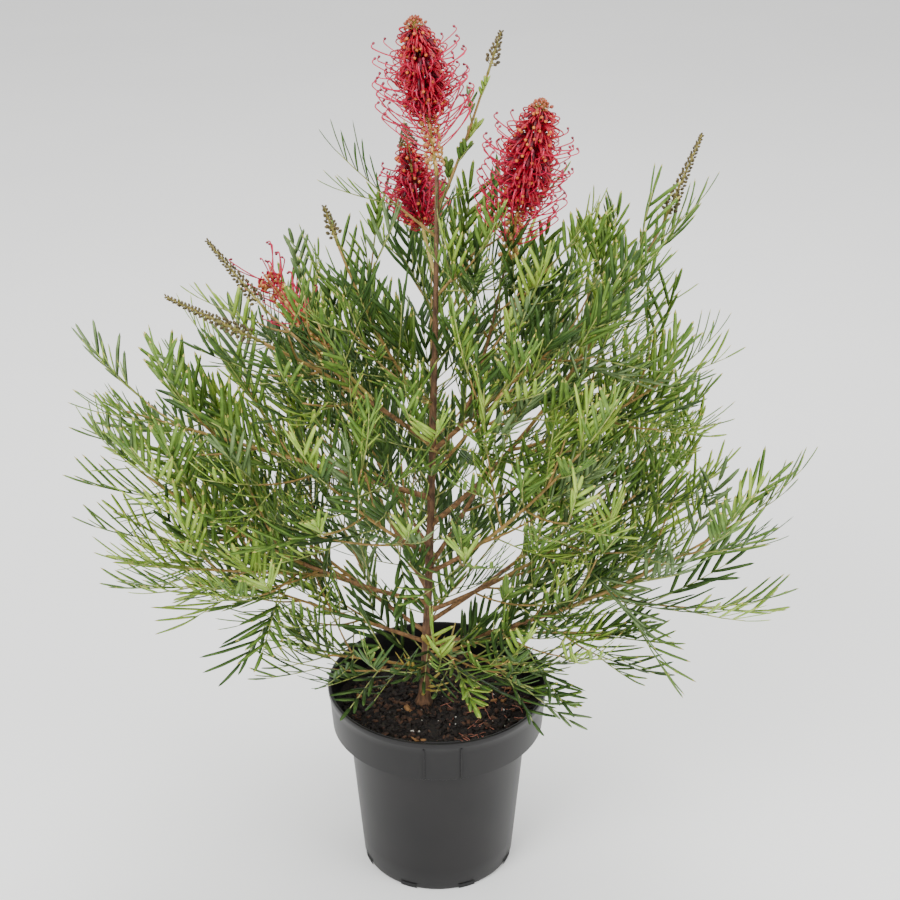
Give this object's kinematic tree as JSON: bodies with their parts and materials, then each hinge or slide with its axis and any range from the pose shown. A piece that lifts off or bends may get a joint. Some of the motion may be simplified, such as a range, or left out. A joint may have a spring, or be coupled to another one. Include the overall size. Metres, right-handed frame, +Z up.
{
  "type": "potted raspberry dream grevillea",
  "caption": "Young flowering grevillea shrub with feathery leaves, raspberry-red flower heads and bud spikes, in a round black nursery pot. It stands on the pot's flat underside.",
  "frame": {"origin": "centre of the pot's flat underside, on the ground", "axes": "+Z up along the trunk; the picture looks along +Y, with +X to its right"},
  "size_m": [0.5957, 0.4128, 0.8],
  "materials": {
    "pot_plastic": "charcoal-black moulded polypropylene, satin",
    "potting_mix": "dark composted-bark potting mix, matt",
    "bark": "brown bark, tan on young wood",
    "foliage": "green narrow-lobed leaves, soft sheen",
    "blossom": "raspberry-red florets with pink styles",
    "spent_blossom": "spent florets, tan and orange with a few pink styles"
  },
  "bodies": {
    "root": {"back_far_left_bough": "bark", "back_far_left_leaves": "foliage", "back_far_right_bough": "bark", "back_far_right_leaves": "foliage", "back_high_bough": "bark", "back_high_leaves": "foliage", "back_inner_bough": "bark", "back_inner_leaves": "foliage", "back_left_bough": "bark", "back_left_leaves": "foliage", "back_low_bough": "bark", "back_low_leaves": "foliage", "back_right_bough": "bark", "back_right_leaves": "foliage", "bud_shoot_leaves": "foliage", "flower_back": "blossom", "flower_limb_bough": "bark", "flower_right": "blossom", "flower_side_leaves": "foliage", "flower_spent": "spent_blossom", "flower_top": "blossom", "front_high_bough": "bark", "front_high_leaves": "foliage", "front_left_bough": "bark", "front_left_leaves": "foliage", "front_right_bough": "bark", "front_right_leaves": "foliage", "inner_spike_leaves": "foliage", "left_low_leaves": "foliage", "left_mid_bough": "bark", "left_mid_leaves": "foliage", "left_spike_bough": "bark", "left_spike_leaves": "foliage", "long_left_bough": "bark", "long_left_leaves": "foliage", "long_right_bough": "bark", "long_right_leaves": "foliage", "low_left_bough": "bark", "low_left_leaves": "foliage", "low_right_bough": "bark", "low_right_leaves": "foliage", "pot": "pot_plastic", "pot_right_leaves": "foliage", "right_mid_leaves": "foliage", "right_spike_bough": "bark", "right_spike_leaves": "foliage", "rim_front_leaves": "foliage", "rim_left_leaves": "foliage", "rim_right_leaves": "foliage", "second_spike_leaves": "foliage", "soil": "potting_mix", "top_left_leaves": "foliage", "top_right_leaves": "foliage", "trunk": "bark", "upper_right_bough": "bark", "upper_right_leaves": "foliage"}
  },
  "joints": []
}
